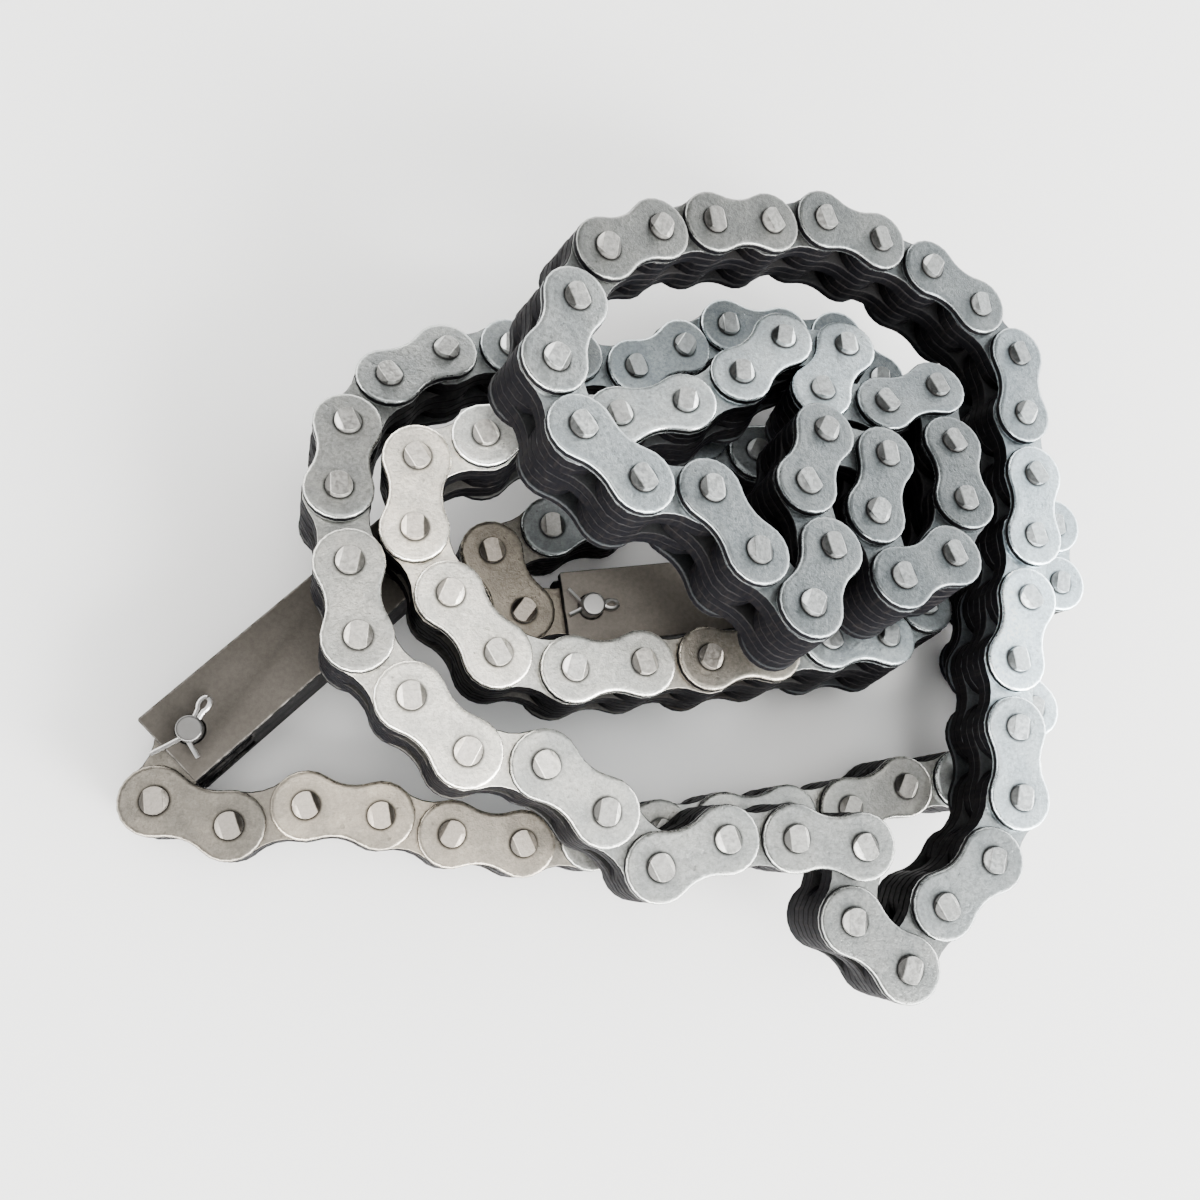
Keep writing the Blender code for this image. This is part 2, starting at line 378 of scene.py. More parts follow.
def stackTree():
    # copies a piece up a stack at every place; "Room" is an extra gap at the stack's middle
    tree = bpy.data.node_groups.new("stack_along_chain", "GeometryNodeTree")
    tree.is_modifier = True
    face = tree.interface
    face.new_socket("Places", in_out="INPUT", socket_type="NodeSocketGeometry")
    for name, kind in (("Piece", "NodeSocketObject"), ("Levels", "NodeSocketInt"),
                       ("Spacing", "NodeSocketFloat"), ("Room", "NodeSocketFloat"),
                       ("Bright Levels", "NodeSocketInt"),
                       ("Turn Lowest Over", "NodeSocketBool"), ("Play", "NodeSocketFloat"),
                       ("Yaw", "NodeSocketFloat"), ("Seed", "NodeSocketInt"),
                       ("Finish", "NodeSocketMaterial")):
        face.new_socket(name, in_out="INPUT", socket_type=kind)
    face.new_socket("Pieces", in_out="OUTPUT", socket_type="NodeSocketGeometry")
    bench = Bench(tree)
    source = tree.nodes.new("NodeGroupInput")
    given = {socket.name: Wire(tree, socket) for socket in source.outputs if socket.name}

    copies, level = bench.add("GeometryNodeDuplicateElements", {"domain": "POINT"},
                              {"Geometry": given["Places"], "Amount": given["Levels"]}, out=(0, 1))
    centred = level - (given["Levels"] - 1.0) * 0.5
    height = centred * given["Spacing"] + centred.maths("SIGN", centred, 0.0) * given["Room"]
    up = bench.add("GeometryNodeInputNamedAttribute", {"data_type": "FLOAT_VECTOR"}, {"Name": "up"})
    lift = bench.add("ShaderNodeVectorMath", {"operation": "SCALE"}, {0: up, "Scale": height})
    shift = bench.add("FunctionNodeRandomValue", {"data_type": "FLOAT_VECTOR"},
                      {0: (-1.0, -1.0, 0.0), 1: (1.0, 1.0, 0.0), "Seed": given["Seed"]})
    shift = bench.add("ShaderNodeVectorMath", {"operation": "SCALE"},
                      {0: shift, "Scale": given["Play"]})
    offset = bench.add("ShaderNodeVectorMath", {"operation": "ADD"}, {0: lift, 1: shift})
    placed = bench.add("GeometryNodeSetPosition", None, {"Geometry": copies, "Offset": offset})

    facing = bench.add("GeometryNodeInputNamedAttribute", {"data_type": "FLOAT_VECTOR"},
                       {"Name": "facing"})
    turn = bench.add("FunctionNodeEulerToRotation", None, {0: facing})
    shape = bench.add("GeometryNodeObjectInfo", None, {"Object": given["Piece"]}, out="Geometry")
    laid = bench.add("GeometryNodeInstanceOnPoints", None,
                     {"Points": placed, "Instance": shape, "Rotation": turn})

    lowest = bench.add("FunctionNodeCompare", {"data_type": "INT", "operation": "EQUAL"},
                       {2: level, 3: 0})
    chosen = bench.add("FunctionNodeBooleanMath", {"operation": "AND"},
                       {0: lowest, 1: given["Turn Lowest Over"]})
    # levels under the bright ones are marked so that their faces get painted shade
    buried = level.maths("LESS_THAN", level, given["Levels"] - given["Bright Levels"])
    laid = bench.add("GeometryNodeRotateInstances", None,
                     {"Instances": laid, "Selection": chosen, "Rotation": (math.pi, 0, 0)})
    sway = bench.add("FunctionNodeRandomValue", {"data_type": "FLOAT_VECTOR"},
                     {0: (0.0, 0.0, -1.0), 1: (0.0, 0.0, 1.0), "Seed": given["Seed"] + 1.0})
    sway = bench.add("ShaderNodeVectorMath", {"operation": "SCALE"}, {0: sway, "Scale": given["Yaw"]})
    laid = bench.add("GeometryNodeRotateInstances", None, {"Instances": laid, "Rotation": sway})

    chance = bench.add("FunctionNodeRandomValue", {"data_type": "FLOAT"},
                       {2: 0.0, 3: 1.0, "Seed": given["Seed"] + 2.0}, out=1)
    laid = bench.add("GeometryNodeStoreNamedAttribute", {"data_type": "FLOAT", "domain": "INSTANCE"},
                     {"Geometry": laid, "Name": "own", "Value": chance})
    laid = bench.add("GeometryNodeStoreNamedAttribute", {"data_type": "FLOAT", "domain": "INSTANCE"},
                     {"Geometry": laid, "Name": "under", "Value": buried})
    real = bench.add("GeometryNodeRealizeInstances", None, {"Geometry": laid})
    done = bench.add("GeometryNodeSetMaterial", None, {"Geometry": real, "Material": given["Finish"]})
    sink = tree.nodes.new("NodeGroupOutput")
    tree.links.new(done.socket, sink.inputs[0])
    return tree


def layAlong(name, tree, places, mesh, values, finish):
    # places are (point, facing, up, tone, warmth); gives one plain mesh of all the copies
    piece = bpy.data.objects.new(name + "_one", mesh)
    bpy.context.collection.objects.link(piece)
    points = bpy.data.meshes.new(name + "_places")
    points.from_pydata([place[0] for place in places], [], [])
    for index, (label, kind, key) in enumerate((("facing", "FLOAT_VECTOR", "vector"),
                                                ("up", "FLOAT_VECTOR", "vector"),
                                                ("tone", "FLOAT", "value"),
                                                ("warmth", "FLOAT", "value"))):
        kept = points.attributes.new(label, kind, "POINT")
        for item, place in zip(kept.data, places):
            setattr(item, key, place[index + 1])
    carrier = bpy.data.objects.new(name + "_carrier", points)
    bpy.context.collection.objects.link(carrier)
    modifier = carrier.modifiers.new("lay", "NODES")
    modifier.node_group = tree
    inputs = {item.name: item.identifier for item in tree.interface.items_tree
              if item.item_type == "SOCKET" and item.in_out == "INPUT"}
    modifier[inputs["Piece"]] = piece
    modifier[inputs["Finish"]] = finish
    for label, value in values.items():
        modifier[inputs[label]] = value
    graph = bpy.context.evaluated_depsgraph_get()
    flat = bpy.data.meshes.new_from_object(carrier.evaluated_get(graph), depsgraph=graph)
    flat.name = name
    for label in ("facing", "up"):
        if label in flat.attributes:
            flat.attributes.remove(flat.attributes[label])
    whole = bpy.data.objects.new(name, flat)
    bpy.context.collection.objects.link(whole)
    carrier.modifiers.clear()
    bpy.data.objects.remove(carrier)
    bpy.data.objects.remove(piece)
    print(name, len(places), "places", len(flat.polygons), "faces")
    return whole


plateLook = {
    "cool": (0.335, 0.390, 0.420, 1),
    "warm": (0.420, 0.370, 0.300, 1),
    # the near black of the cut edge is partly the steel's own oxide and partly painted shade
    "side": (0.004, 0.004, 0.005, 1),
    "sideBrown": (0.009, 0.008, 0.008, 1),
    "rimGlint": (0.026, 0.024, 0.024, 1),
    "metallic": 0.9,
    "roughness": 0.32,
    "underDark": 0.94,        # how much darker the faces of the covered plates are painted, as painted shade
    "blotch": 110.0,          # how fine each noise is: blotches, grain, specks, dings, streaks
    "grain": 1100.0,
    "speck": 2600.0,
    "dings": 620.0,
    "streaks": 1400.0,
    "scratchTurn": 0.5,       # which way the scratches run across a plate, in radians
    "pinShadowRing": (2.95, 3.7),     # the painted shadow ring round a pin ends between these radii, in mm
    "pinShadeFringe": (3.4, 5.2),       # and a fainter painted shade outside it between these
    "bump": 0.08 * mm,
}


def plateSteel(name, shape):
    # bright on the level face and dark on the cut edge, partly oxide and partly painted shade, with a
    # painted shadow ring round each pin, painted highlights on the rims, and painted shade on the faces
    # of the covered plates
    look = plateLook
    finish, shader, bench = newFinish(name, specular=0.02)
    where = bench.add("ShaderNodeTexCoord", out="Object")
    spot = bench.add("ShaderNodeAttribute", {"attribute_name": "onPlate"}, out="Vector")
    tone = bench.add("ShaderNodeAttribute", {"attribute_name": "tone"}, out="Fac")
    warmth = bench.add("ShaderNodeAttribute", {"attribute_name": "warmth"}, out="Fac")
    own = bench.add("ShaderNodeAttribute", {"attribute_name": "own"}, out="Fac")
    x, y, z = bench.add("ShaderNodeSeparateXYZ", None, {0: spot}, out=(0, 1, 2))
    across = abs(x) - chain["pitch"] / 2 / mm
    fromPin = (across * across + y * y) ** 0.5
    height = abs(z)
    under = bench.add("ShaderNodeAttribute", {"attribute_name": "under"}, out="Fac")
    # bright steel on the level face, near black on the cut edge, which is partly oxide and partly
    # painted shade
    face = bench.mask(height, plateHalf - shape["brightFrom"], plateHalf - shape["brightTo"])
    # the faces of the covered plates are painted darker, as painted shade under the plates above
    face = face * (1.0 - look["underDark"] * under)
    rim = bench.mask(height, plateHalf - 0.24, plateHalf - 0.12)
    rounded = 1.0 - bench.mask(height, plateHalf - 0.25, plateHalf - 0.03)

    blotch = bench.mask(bench.noise(where, look["blotch"], 4.0, 0.6), 0.30, 0.70)
    grain = bench.mask(bench.noise(where, look["grain"], 4.0, 0.75), 0.25, 0.75)
    speck = bench.mask(bench.noise(where, look["speck"], 2.0, 0.6), 0.25, 0.75)
    stroke = bench.add("ShaderNodeMapping", None,
                       {"Vector": spot, "Rotation": (0, 0, look["scratchTurn"]),
                        "Scale": (0.35, 7.0, 1.0)})
    scratch = bench.mask(bench.noise(stroke, 1.0, 2.0, 0.5), 0.64, 0.72)
    dings = bench.mask(bench.noise(where, look["dings"], 1.0, 0.4), 0.72, 0.78)

    steel = bench.blend(warmth + 0.10 * (blotch - 0.5), look["cool"], look["warm"])
    light = tone * (0.93 + 0.14 * own)
    light = light * (0.84 + 0.32 * blotch) * (0.76 + 0.48 * grain) * (0.92 + 0.16 * speck)
    # the rounded rim is painted lighter, as a painted highlight; the scratches lighten it as real wear
    light = light * (1.0 + 0.25 * scratch + 0.35 * rounded)
    # painted contact shadow round each pin, and a fainter painted shade beyond it
    pinShadowRing = bench.mask(fromPin, *look["pinShadowRing"])
    pinShadeFringe = bench.mask(fromPin, *look["pinShadeFringe"])
    light = light * (0.12 + 0.88 * pinShadowRing) * (0.90 + 0.10 * pinShadeFringe) * (1.0 - 0.25 * dings)
    lit = bench.blend(1.0, steel, bench.grey(light), "MULTIPLY")

    drawn = bench.add("ShaderNodeMapping", None, {"Vector": where, "Scale": (1, 1, 0.12)})
    streaks = bench.mask(bench.noise(drawn, look["streaks"], 2.0, 0.6), 0.45, 0.75)
    side = bench.blend(streaks, look["side"], look["sideBrown"])
    # a painted highlight along the rims of the cut edge, picked out more on some plates than others
    wearAndRimGlint = bench.blend(rim * (0.5 + 0.5 * own) * shape["rimShine"], side, look["rimGlint"])
    colour = bench.blend(face, wearAndRimGlint, lit)
    rough = look["roughness"] + 0.12 * grain + 0.22 * (1.0 - face) - 0.06 * blotch - 0.08 * rounded
    relief = grain + 0.4 * speck - 0.8 * dings + 1.6 * blotch - 1.5
    bump = bench.add("ShaderNodeBump", None,
                     {"Strength": 0.5, "Distance": look["bump"], "Height": (1.0 - rounded) * relief})
    tree = finish.node_tree
    feed(tree, shader.inputs["Base Color"], colour)
    feed(tree, shader.inputs["Metallic"], look["metallic"] * face)
    feed(tree, shader.inputs["Roughness"], rough)
    feed(tree, shader.inputs["Normal"], bump)
    return finish


pinLook = {
    "cool": (0.42, 0.45, 0.46, 1),
    "warm": (0.46, 0.41, 0.35, 1),
    "dark": (0.03, 0.028, 0.027, 1),    # the shaft, and the foot of the head, painted dark as shade in the gap round the head
    "metallic": 0.95,
    "grain": 1100.0,          # how fine the grain and the dents are
    "dents": 600.0,
    "bump": 0.1 * mm,
}


def pinSteel():
    look = pinLook
    finish, shader, bench = newFinish("pin_steel")
    where = bench.add("ShaderNodeTexCoord", out="Object")
    spot = bench.add("ShaderNodeAttribute", {"attribute_name": "onPin"}, out="Vector")
    own = bench.add("ShaderNodeAttribute", {"attribute_name": "own"}, out="Fac")
    x, z = bench.add("ShaderNodeSeparateXYZ", None, {0: spot}, out=(0, 2))
    top = chain["pinHalf"] / mm
    flat = pinHead["flatHalf"] / mm
    rise = bench.mask(abs(z), top - pinHead["proud"] / mm + 0.05, top - 0.75)
    tone = bench.add("ShaderNodeAttribute", {"attribute_name": "tone"}, out="Fac")
    warmth = bench.add("ShaderNodeAttribute", {"attribute_name": "warmth"}, out="Fac")
    grain = bench.mask(bench.noise(where, look["grain"], 3.0, 0.7), 0.30, 0.70)
    dents = bench.noise(where, look["dents"], 2.0, 0.5)
    steel = bench.blend(warmth, look["cool"], look["warm"])
    light = (0.45 + 0.6 * tone) * (0.85 + 0.25 * own) * (0.80 + 0.36 * grain)
    steel = bench.blend(1.0, steel, bench.grey(light), "MULTIPLY")
    # one side of the head lies in shade, and the other catches the light
    shade = 1.0 - 0.80 * bench.mask(x, flat, flat + 0.25) + 0.30 * bench.mask(x, -flat, -flat - 0.25)
    steel = bench.blend(1.0, steel, bench.grey(shade), "MULTIPLY")
    # the foot of the head is painted dark, as painted shade
    colour = bench.blend(rise, look["dark"], steel)
    bump = bench.add("ShaderNodeBump", None,
                     {"Strength": 0.7, "Distance": look["bump"], "Height": dents + 0.3 * grain})
    tree = finish.node_tree
    feed(tree, shader.inputs["Base Color"], colour)
    feed(tree, shader.inputs["Metallic"], look["metallic"] * rise)
    feed(tree, shader.inputs["Roughness"], 0.32 + 0.16 * grain)
    feed(tree, shader.inputs["Normal"], bump)
    return finish


blockLook = {
    "face": (0.060, 0.054, 0.047, 1),
    "pale": (0.072, 0.065, 0.057, 1),
    # the sides, painted near black as shade
    "side": (0.004, 0.004, 0.0045, 1),
    "wear": (0.26, 0.245, 0.225, 1),
    "blotch": 45.0,           # how fine the blotches, the grain and the chipped spots are
    "grain": 900.0,
    "chips": 420.0,
    "bump": 0.05 * mm,
}


def blockSteel():
    look = blockLook
    finish, shader, bench = newFinish("anchor_block_scale", specular=0.04)
    where = bench.add("ShaderNodeTexCoord", out="Object")
    edge = bench.add("ShaderNodeAttribute", {"attribute_name": "edge"}, out="Fac")
    level = bench.add("ShaderNodeAttribute", {"attribute_name": "level"}, out="Fac")
    blotch = bench.noise(where, look["blotch"], 2.0, 0.5)
    grain = bench.mask(bench.noise(where, look["grain"], 4.0, 0.75), 0.25, 0.75)
    face = bench.blend(bench.mask(blotch, 0.25, 0.80), look["face"], look["pale"])
    tone = bench.add("ShaderNodeAttribute", {"attribute_name": "tone"}, out="Fac")
    face = bench.blend(1.0, face, bench.grey(tone * (0.85 + 0.30 * grain)), "MULTIPLY")
    # only the top face gets the block's colour; the sides are painted near black, as painted shade
    colour = bench.blend(level, look["side"], face)
    chips = edge * bench.mask(bench.noise(where, look["chips"], 3.0, 0.6), 0.42, 0.62)
    colour = bench.blend(0.35 * chips, colour, look["wear"])
    bump = bench.add("ShaderNodeBump", None,
                     {"Strength": 0.4, "Distance": look["bump"], "Height": grain})
    tree = finish.node_tree
    feed(tree, shader.inputs["Base Color"], colour)
    feed(tree, shader.inputs["Metallic"], 0.25 - 0.22 * edge + 0.3 * chips)
    feed(tree, shader.inputs["Roughness"], 0.52 + 0.15 * grain)
    feed(tree, shader.inputs["Normal"], bump)
    return finish


brightLook = {
    "dull": (0.42, 0.41, 0.40, 1),
    "bright": (0.58, 0.575, 0.565, 1),
    "metallic": 0.92,
    "grain": 1600.0,          # how fine the grain and the blotches are
    "blotch": 300.0,
    "bump": 0.03 * mm,
}


def brightSteel():
    look = brightLook
    finish, shader, bench = newFinish("bright_steel_zinc", metallic=look["metallic"])
    where = bench.add("ShaderNodeTexCoord", out="Object")
    grain = bench.noise(where, look["grain"], 3.0, 0.6)
    blotch = bench.noise(where, look["blotch"], 3.0, 0.6)
    tone = bench.add("ShaderNodeAttribute", {"attribute_name": "tone"}, out="Fac")
    colour = bench.blend(blotch, look["dull"], look["bright"])
    colour = bench.blend(1.0, colour, bench.grey(tone), "MULTIPLY")
    bump = bench.add("ShaderNodeBump", None,
                     {"Strength": 0.3, "Distance": look["bump"], "Height": grain})
    tree = finish.node_tree
    feed(tree, shader.inputs["Base Color"], colour)
    feed(tree, shader.inputs["Roughness"], 0.26 + 0.16 * grain)
    feed(tree, shader.inputs["Normal"], bump)
    return finish


anchorBlock = {
    "length": 70 * mm,
    "width": 18 * mm,
    "height": 22 * mm,
    "fromEnd": 6.3 * mm,      # from the pin to the slotted end
    "slotDepth": 14.7 * mm,
    "slotLow": 2.4 * mm,      # the two slots lie this far above and below the chain's middle
    "slotHigh": 7.6 * mm,
    "bore": 3.0 * mm,         # radius
    "drill": 60 * mm,         # long enough to go right through
    "ease": 0.55 * mm,
}

anchorPin = {
    "radius": 2.8 * mm,
    "proud": 3.2 * mm,        # how far it stands out of the block
    "sides": 32,
    "foot": 0.35 * mm,        # bevel at the lower end
    # the round edge of the top, as (how far in, how far down)
    "crown": [(0.0, 0.45 * mm), (0.12 * mm, 0.16 * mm), (0.42 * mm, 0.0), (0.6 * mm, 0.0)],
}

cotter = {
    "wide": 0.95 * mm,        # each of the two wires
    "high": 1.3 * mm,
    "above": 0.3 * mm,        # gap to the block
    "apart": 0.1 * mm,        # from the middle to each wire, inside the pin
    "eyeLong": 1.2 * mm,      # half of the hole in the eye
    "eyeWide": 0.65 * mm,
    "neck": 0.6 * mm,         # from the pin to where the eye opens
    "bendFrom": 1.2 * mm,     # how far inside the pin the legs start to spread
    "bendStep": 0.6 * mm,
    "tone": 0.9,
}

# What differs between the two ends: how the block and the eye are turned, in degrees, how far
# the eye reaches out, each leg as (angle, length), and how light the steel is.
anchors = {
    "a": {"turn": 45, "eye": 66, "reach": 5.2 * mm, "legs": ((211, 6.5 * mm), (303, 4.0 * mm)),
          "blockTone": 0.86, "pinTone": 0.22},
    # block b's high blockTone is painted light, lightening a block that lies in shade
    "b": {"turn": 9, "eye": 7, "reach": 4.0 * mm, "legs": ((136, 4.5 * mm), (208, 3.2 * mm)),
          "blockTone": 3.3, "pinTone": 0.7},
}


def addObject(name, mesh, finish):
    thing = bpy.data.objects.new(name, mesh)
    bpy.context.collection.objects.link(thing)
    mesh.materials.clear()
    mesh.materials.append(finish)
    return thing


def markTone(thing, tone):
    kept = thing.data.attributes.new("tone", "FLOAT", "POINT")
    for item in kept.data:
        item.value = tone


def settle(thing):
    # applies the modifiers
    graph = bpy.context.evaluated_depsgraph_get()
    mesh = bpy.data.meshes.new_from_object(thing.evaluated_get(graph), depsgraph=graph)
    thing.modifiers.clear()
    thing.data = mesh


def blockPiece(letter, place, finish):
    # a bar with two slots in one end, bored for the pin, with all of its edges eased
    a = anchorBlock
    x0, x1 = -a["fromEnd"], a["length"] - a["fromEnd"]
    z0, z1 = -chain["pinHalf"], a["height"] - chain["pinHalf"]
    deep = x0 + a["slotDepth"]
    low, high = a["slotLow"], a["slotHigh"]
    outline = [(x0, z0), (x1, z0), (x1, z1), (x0, z1), (x0, high), (deep, high), (deep, low),
               (x0, low), (x0, -low), (deep, -low), (deep, -high), (x0, -high)]
    bm = bmesh.new()
    half = a["width"] / 2
    near = [bm.verts.new((x, -half, z)) for x, z in outline]
    far = [bm.verts.new((x, half, z)) for x, z in outline]
    bm.faces.new(near)
    bm.faces.new(reversed(far))
    for i in range(len(outline)):
        j = (i + 1) % len(outline)
        bm.faces.new((near[j], near[i], far[i], far[j]))
    bmesh.ops.recalc_face_normals(bm, faces=bm.faces)
    mesh = bpy.data.meshes.new("block_" + letter)
    bm.to_mesh(mesh)
    bm.free()
    thing = addObject("anchor_block_body_" + letter, mesh, finish)

    cutter = bmesh.new()
    bmesh.ops.create_cone(cutter, cap_ends=True, segments=32, radius1=a["bore"], radius2=a["bore"],
                          depth=a["drill"])
    cutMesh = bpy.data.meshes.new("bore")
    cutter.to_mesh(cutMesh)
    cutter.free()
    cut = bpy.data.objects.new("bore_" + letter, cutMesh)
    bpy.context.collection.objects.link(cut)
    drill = thing.modifiers.new("bore", "BOOLEAN")
    drill.operation = "DIFFERENCE"
    drill.solver = "EXACT"
    drill.object = cut
    soft = thing.modifiers.new("eased edges", "BEVEL")
    soft.width = a["ease"]
    soft.segments = 3
    soft.limit_method = "ANGLE"
    soft.angle_limit = math.radians(40)
    settle(thing)
    bpy.data.objects.remove(cut)
    mesh = thing.data
    mesh.shade_smooth()
    mesh.set_sharp_from_angle(angle=math.radians(25))
    edge = mesh.attributes.new("edge", "FLOAT", "POINT")      # how worn, on the eased edges
    level = mesh.attributes.new("level", "FLOAT", "POINT")    # 1 on the top face, 0 on the sides, which are painted near black as shade
    for vertex, wearAndRimGlint, top in zip(mesh.vertices, edge.data, level.data):
        x, y, z = vertex.co
        eased = 0             # how many sides the point lies just inside of
        for gap in (abs(y) - half, z - z0, z - z1, x - x0, x - x1):
            eased += 1 if 1e-6 < abs(gap) < a["ease"] * 0.6 else 0
        wearAndRimGlint.value = min(1.0, eased * 0.6)
        top.value = 1.0 if z > z1 - 0.2 * mm else 0.0
    mesh.transform(place)
    return thing


def sweep(bm, path, section):
    # carries a section of (side, height) points along a level path
    rings = []
    for i, point in enumerate(path):
        back, ahead = path[max(i - 1, 0)], path[min(i + 1, len(path) - 1)]
        along = (Vector(ahead) - Vector(back)).normalized()
        side = Vector((0, 0, 1)).cross(along).normalized()
        up = along.cross(side)
        rings.append([bm.verts.new(Vector(point) + side * s + up * h) for s, h in section])
    for a, b in zip(rings, rings[1:]):
        for i in range(len(section)):
            j = (i + 1) % len(section)
            bm.faces.new((a[i], b[i], b[j], a[j]))
    bm.faces.new(rings[0])
    bm.faces.new(reversed(rings[-1]))


def cotterPiece(letter, place, facts, finish):
    # two half-round wires side by side through the pin, joined by an eye and bent apart
    c = cotter
    z = anchorBlock["height"] - chain["pinHalf"] + c["above"] + c["high"] / 2
    out = anchorPin["radius"]
    turn = math.radians(facts["eye"])
    eyeMiddle = out + facts["reach"] - c["wide"] - c["eyeLong"]
    bm = bmesh.new()
    for side, (legTurn, length) in zip((1, -1), facts["legs"]):
        section = [(-side * c["wide"] * math.sin(math.pi * k / 6),
                    -c["high"] / 2 * math.cos(math.pi * k / 6)) for k in range(7)]
        path = []
        for k in range(8):
            t = math.pi * k / 8
            path.append((eyeMiddle + c["eyeLong"] * math.cos(t), side * c["eyeWide"] * math.sin(t)))
        path.append((out + c["neck"], side * c["apart"]))
        path.append((c["bendFrom"] - out, side * c["apart"]))
        bend = math.radians(legTurn - facts["eye"])
        for k, step in ((1, c["bendStep"]), (2, c["bendStep"]), (3, length)):
            a = math.pi + (bend - math.pi) * k / 3
            x, y = path[-1]
            path.append((x + math.cos(a) * step, y + math.sin(a) * step))
        sweep(bm, [(x, y, z) for x, y in path], section)
    bmesh.ops.recalc_face_normals(bm, faces=bm.faces)
    for face in bm.faces:
        face.smooth = True
    mesh = bpy.data.meshes.new("cotter_" + letter)
    bm.to_mesh(mesh)
    bm.free()
    mesh.set_sharp_from_angle(angle=math.radians(50))
    mesh.transform(place @ Matrix.Rotation(turn, 4, "Z"))
    return addObject("split_cotter_" + letter, mesh, finish)


def anchorPinPiece(letter, place, finish):
    # a plain turned pin from the floor to above the block
    p = anchorPin
    r = p["radius"]
    low = -chain["pinHalf"]
    high = anchorBlock["height"] - chain["pinHalf"] + p["proud"]
    profile = [(r - p["foot"], low), (r, low + p["foot"])]
    profile += [(r - inset, high - down) for inset, down in p["crown"]]
    turns = [2 * math.pi * k / p["sides"] for k in range(p["sides"])]
    rings = [[(radius * math.cos(t), radius * math.sin(t), z) for t in turns]
             for radius, z in profile]
    mesh = ringMesh("clevis_pin_" + letter, rings, False)
    mesh.transform(place)
    return addObject("clevis_pin_" + letter, mesh, finish)


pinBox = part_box("anchor_pin_a")
middle = (pinBox[0] + pinBox[1]) / 2
start = Vector((middle.x, middle.y, pinBox[0].z + chain["pinHalf"]))
hinges, links = walkChain(start)
print("chain walked", len(links), "links")

random.seed(chain["seed"])
outerPlaces, innerPlaces, pinPlaces = [], [], []
for i, link in enumerate(links):
    tone, warmth = between(toneAndPaintedLight, i + 0.5)
    spot = (hinges[i] + hinges[i + 1]) / 2
    place = (spot, linkTurn(link), link[1], tone, warmth)
    (outerPlaces if i % 2 else innerPlaces).append(place)
for i in range(1, len(hinges) - 1):
    link = links[i] if i % 2 else links[i - 1]
    tone, warmth = between(toneAndPaintedLight, i)
    flat = math.radians(random.uniform(-pinHead["swing"], pinHead["swing"]) + random.choice((0, 180)))
    heading = math.atan2(link[0].y, link[0].x)
    pinPlaces.append((hinges[i], linkTurn(link, flat - heading), link[1], tone, warmth))

outerFinish = plateSteel("outer_plate_steel", outerPlate)
innerFinish = plateSteel("inner_plate_steel", innerPlate)
pinFinish = pinSteel()
blockFinish = blockSteel()
brightFinish = brightSteel()

outerMesh = plateMesh("outer_plate", outerPlate)
innerMesh = plateMesh("inner_plate", innerPlate)
tree = stackTree()
common = {"Play": chain["play"], "Yaw": math.radians(chain["yaw"])}
level = chain["level"]

# eight plates on each pin, from the top: outer, two inner, two middle, two inner, outer
outerLinks = layAlong("outer_plates", tree, outerPlaces, outerMesh,
                      {**common, "Levels": 2, "Spacing": 7 * level, "Room": 0.0, "Seed": 12,
                       "Bright Levels": 1, "Turn Lowest Over": True}, outerFinish)
middleLinks = layAlong("middle_plates", tree, outerPlaces, innerMesh,
                       {**common, "Levels": 2, "Spacing": level, "Room": 0.0, "Seed": 21,
                        "Bright Levels": 0, "Turn Lowest Over": False}, innerFinish)
innerLinks = layAlong("inner_plates", tree, innerPlaces, innerMesh,
                      {**common, "Levels": 4, "Spacing": level, "Room": level, "Seed": 31,
                       "Bright Levels": 1, "Turn Lowest Over": False}, innerFinish)
pins = layAlong("link_pins", tree, pinPlaces, pinMesh(),
                {"Play": 0.0, "Yaw": 0.0, "Levels": 1, "Spacing": 0.0, "Room": 0.0, "Seed": 41,
                 "Bright Levels": 1, "Turn Lowest Over": False}, pinFinish)
chainNodes = sorted(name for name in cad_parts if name.startswith("chain_"))
for piece in (outerLinks, middleLinks, innerLinks, pins):
    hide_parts(*chainNodes)
    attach(piece, "root")

for letter, facts in anchors.items():
    at = hinges[0] if letter == "a" else hinges[-1]
    turned = Matrix.Translation(at) @ Matrix.Rotation(math.radians(facts["turn"]), 4, "Z")
    block = blockPiece(letter, turned, blockFinish)
    clevis = anchorPinPiece(letter, turned, brightFinish)
    splitPin = cotterPiece(letter, Matrix.Translation(at), facts, brightFinish)
    markTone(block, facts["blockTone"])
    markTone(clevis, facts["pinTone"])
    markTone(splitPin, cotter["tone"])
    for piece, node, slotName in ((block, "anchor_block_", "block_steel"),
                                  (clevis, "anchor_pin_", "bright_steel"),
                                  (splitPin, "cotter_", "bright_steel")):
        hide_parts(node + letter)
        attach(piece, "root")
    print("anchor", letter, "made")


stageLook = {
    "floor": (0.95, 0.95, 0.945, 1),
    "floorSize": 8.0,
    "floorDrop": 0.02 * mm,   # how far it lies under the heap
    "ceiling": 0.4,
    "overhead": 5.5,          # light from straight above
    "window": 3.5,            # the cool light high up at the right
    "walls": 38.0,            # light from all round, low down, most of it from the front right
    "paper": (1.0, 0.99, 0.97, 1),
    "sky": (0.85, 0.95, 1.0, 1),
}

lampLook = {
    "place": (0.75, -0.75, 0.70),
    "aim": (0.0, 0.0, 0.02),
    "size": 0.5,
    "power": 24.0,
    "colour": (1.0, 0.99, 0.97),
}


def paleFloor():
    mesh = bpy.data.meshes.new("floor")
    size = stageLook["floorSize"]
    z = cadBox[0][2] - stageLook["floorDrop"]
    mesh.from_pydata([(-size, -size, z), (size, -size, z), (size, size, z), (-size, size, z)], [],
                     [(0, 1, 2, 3)])
    finish, shader, bench = newFinish("pale_floor", metallic=0.0, roughness=0.8, specular=0.2)
    shader.inputs["Base Color"].default_value = stageLook["floor"]
    floor = addObject("floor", mesh, finish)


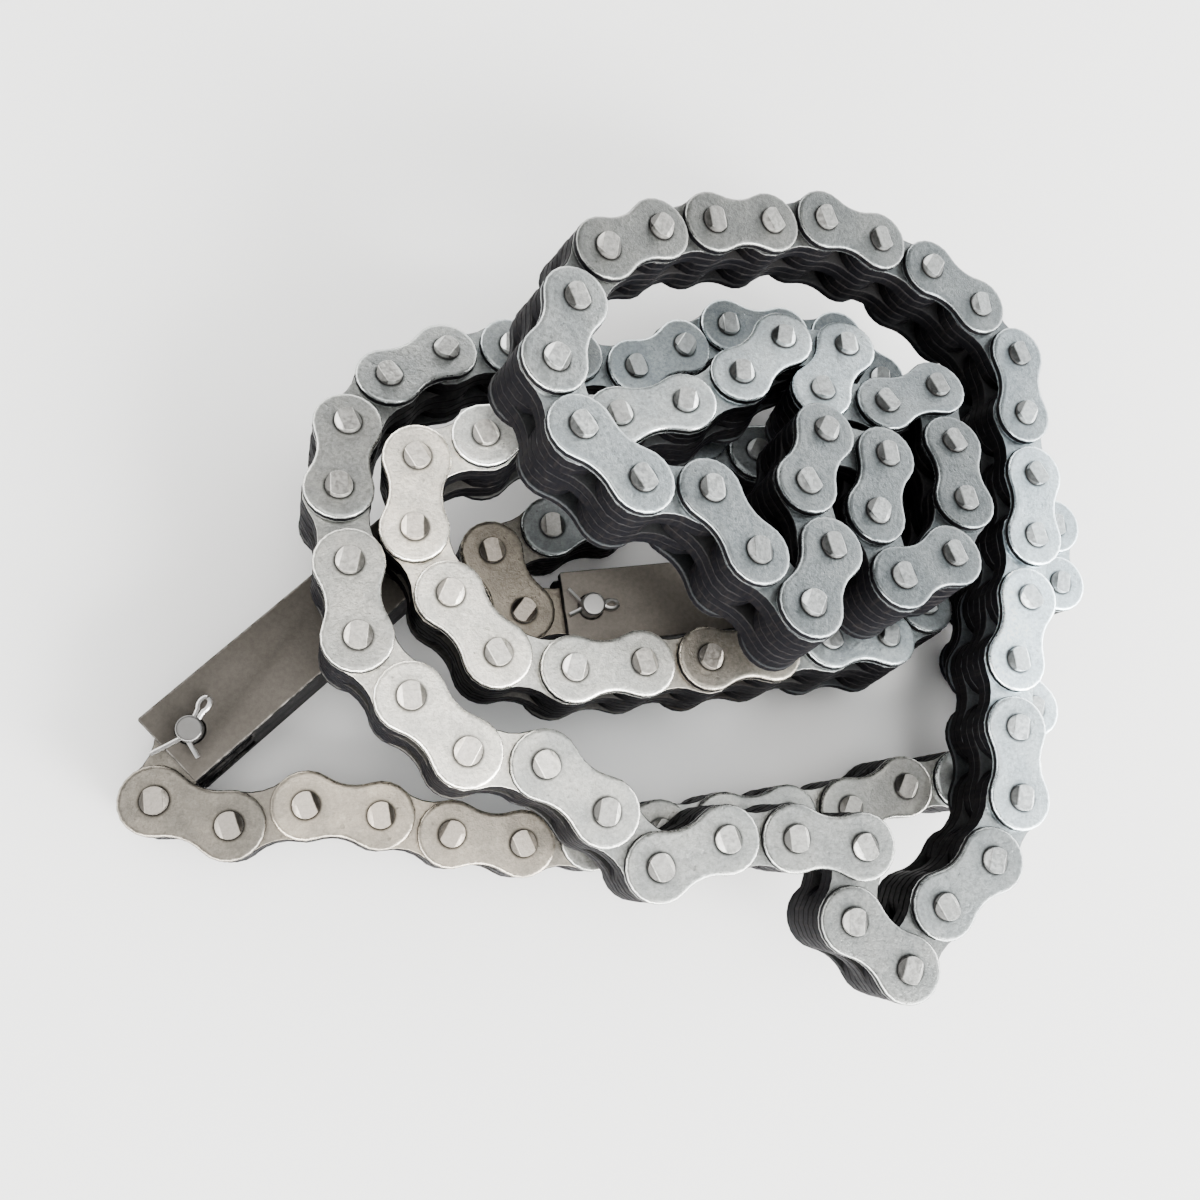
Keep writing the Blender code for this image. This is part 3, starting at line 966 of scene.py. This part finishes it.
def softLamp():
    look = lampLook
    lamp = bpy.data.lights.new("lamp", "AREA")
    lamp.shape = "DISK"
    lamp.size = look["size"]
    lamp.energy = look["power"]
    lamp.color = look["colour"]
    thing = bpy.data.objects.new("lamp", lamp)
    bpy.context.collection.objects.link(thing)
    thing.location = look["place"]
    way = Vector(look["aim"]) - Vector(look["place"])
    thing.rotation_euler = way.to_track_quat("-Z", "Y").to_euler()


def softRoom():
    # bright walls under a dim ceiling, so that level steel is grey and its rims shine
    world = bpy.data.worlds.new("soft_room")
    bpy.context.scene.world = world
    world.use_nodes = True
    bench = Bench(world.node_tree)
    way = bench.add("ShaderNodeTexCoord", out="Generated")
    x, y, z = bench.add("ShaderNodeSeparateXYZ", None, {0: way}, out=(0, 1, 2))
    low = 1.0 - bench.mask(z, 0.10, 0.50)
    near = bench.mask(x * 0.5 - y * 0.87, -0.5, 0.9)
    window = bench.mask(x, 0.40, 0.75) * bench.mask(z, 0.40, 0.65)
    strength = (stageLook["ceiling"] + stageLook["overhead"] * bench.mask(z, 0.88, 1.0)
                + stageLook["window"] * window + stageLook["walls"] * low * (0.25 + 0.75 * near))
    colour = bench.blend(window, stageLook["paper"], stageLook["sky"])
    background = world.node_tree.nodes["Background"]
    feed(world.node_tree, background.inputs["Strength"], strength)
    feed(world.node_tree, background.inputs["Color"], colour)


paleFloor()
softRoom()
softLamp()
print("floor, room and lamp made")

# the photo's camera, measured from the first anchor pin
view = {
    "height": 256.491 * mm,
    "right": 29 * mm,
    "back": -28 * mm,
    "pitch": -0.237031,       # in radians
    "roll": 0.237606,
    "focal": 1105.434,        # in pixels of the photo
    "pixels": 1200,
    "film": 36.0,
    "nearest": 5 * mm,
}
shot = bpy.data.cameras.new("photo_view")
shot.sensor_fit = "HORIZONTAL"
shot.sensor_width = view["film"]
shot.lens = view["focal"] * view["film"] / view["pixels"]
shot.clip_start = view["nearest"]
camera = bpy.data.objects.new("photo_view", shot)
bpy.context.collection.objects.link(camera)
seen = Matrix.Rotation(view["pitch"], 3, "X") @ Matrix.Rotation(view["roll"], 3, "Y")
camera.matrix_world = (Matrix.Translation(start + Vector((view["right"], view["back"], view["height"])))
                       @ seen.transposed().to_4x4())
bpy.context.scene.camera = camera
